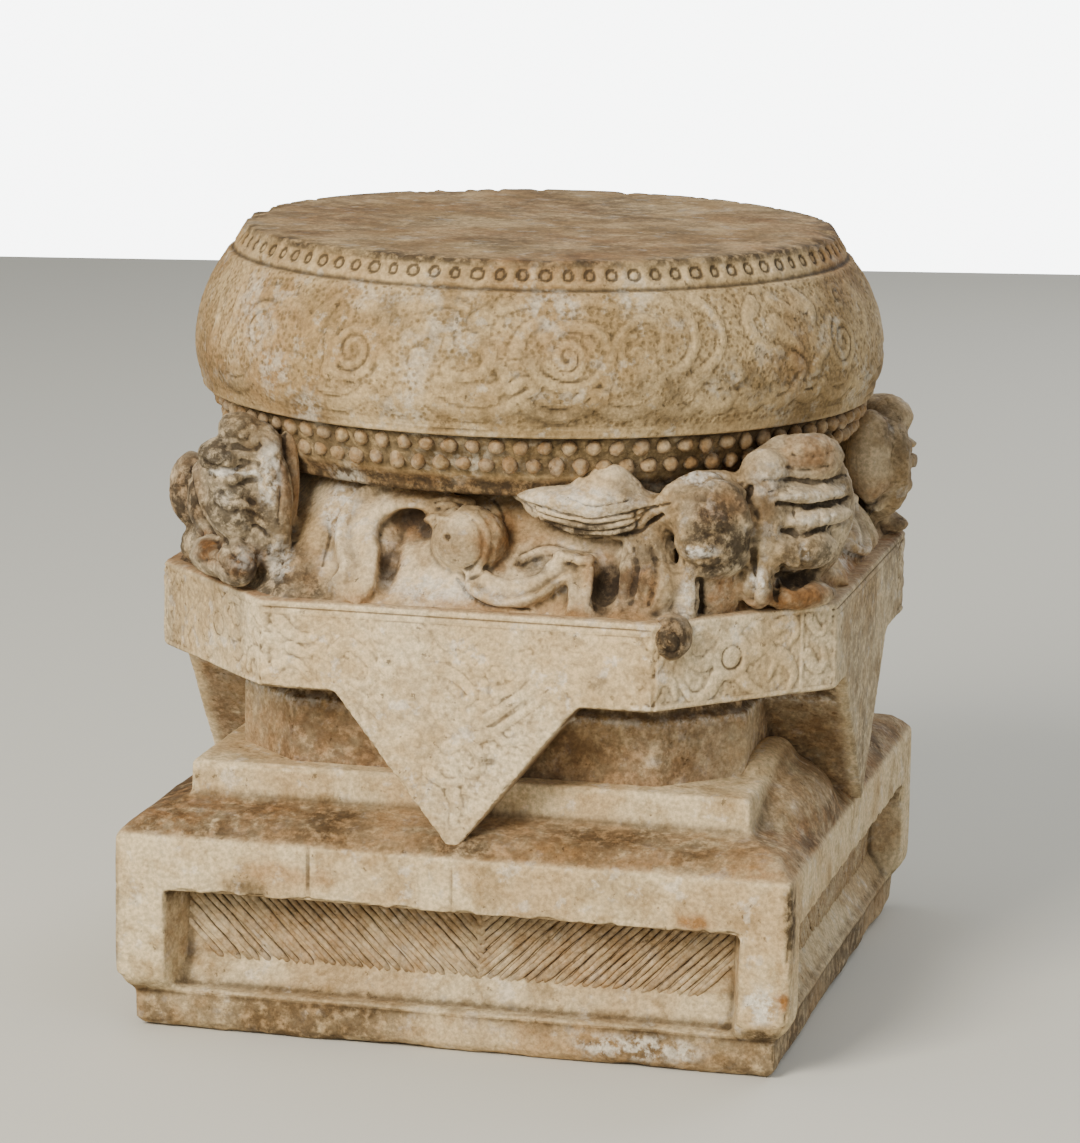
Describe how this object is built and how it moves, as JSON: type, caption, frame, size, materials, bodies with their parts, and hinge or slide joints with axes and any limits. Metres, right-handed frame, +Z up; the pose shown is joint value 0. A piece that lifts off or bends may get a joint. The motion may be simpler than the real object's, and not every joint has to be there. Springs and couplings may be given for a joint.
{
  "type": "column base",
  "caption": "Carved stone column base: drum seat with studs, crouching lions and ribboned balls, octagonal slab with hanging points, waist and table-shaped plinth.",
  "frame": {"origin": "middle of the underside of the base slab", "axes": "+Z up through the drum's seat; the front, with the leaf hat, faces -Y; +X to the right seen from the front"},
  "size_m": [0.3988, 0.4, 0.4366],
  "materials": {
    "stone": "weathered carved limestone, pale beige with brown stains"
  },
  "bodies": {
    "root": {"column_base": "stone"}
  },
  "joints": []
}
